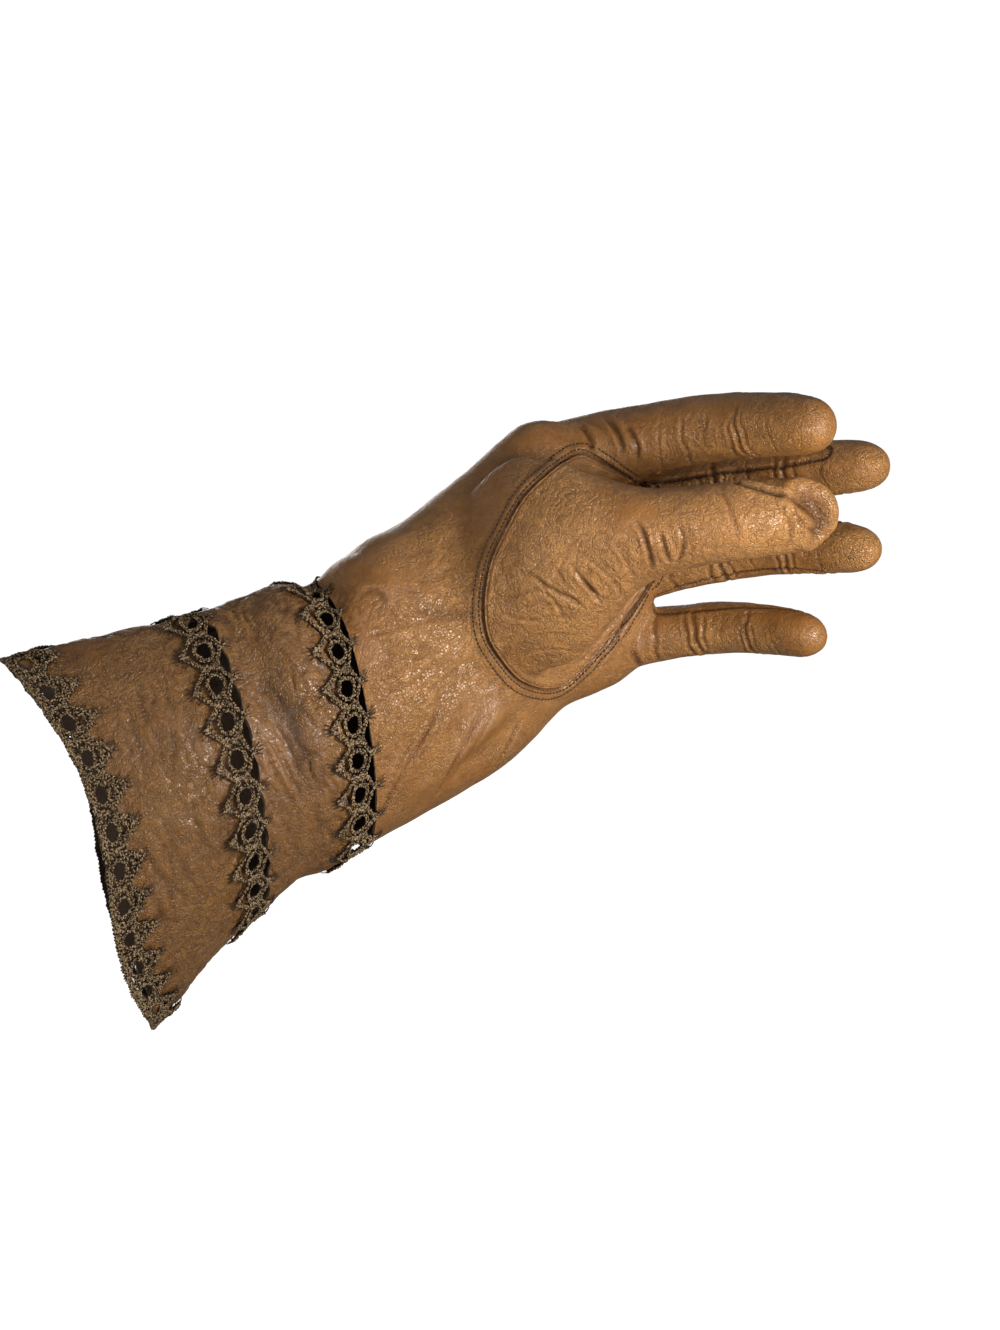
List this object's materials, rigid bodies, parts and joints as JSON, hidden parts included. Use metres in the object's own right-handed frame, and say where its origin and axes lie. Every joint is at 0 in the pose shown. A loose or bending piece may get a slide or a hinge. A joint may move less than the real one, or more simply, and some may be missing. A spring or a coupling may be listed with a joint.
{
  "type": "gauntlet glove",
  "caption": "Left-hand dress glove of tan kid leather in its worn shape, with a flared gauntlet cuff, open crochet insertions and a lace edge.",
  "frame": {"origin": "middle of the hollow at the wrist, where the wearer's wrist sits", "axes": "+X along the forearm to the fingers, +Z to the thumb side, -Y to the palm side"},
  "size_m": [0.2746, 0.1028, 0.129],
  "materials": {
    "hand_leather": "soft glossy kid leather, tan, fine grain, creased where it bends",
    "cuff_leather": "duller and darker tan kid leather, creased",
    "crochet_thread": "matt crochet thread, light tan mottled with dark brown"
  },
  "bodies": {
    "root": {"hand_trank": "hand_leather", "thumb": "hand_leather", "fourchette_index_middle": "hand_leather", "fourchette_middle_ring": "hand_leather", "fourchette_ring_little": "hand_leather", "lace_insertion_upper": "crochet_thread", "cuff_panel_inner": "cuff_leather", "lace_insertion_middle": "crochet_thread", "cuff_panel_outer": "cuff_leather", "lace_edge": "crochet_thread"}
  },
  "joints": []
}
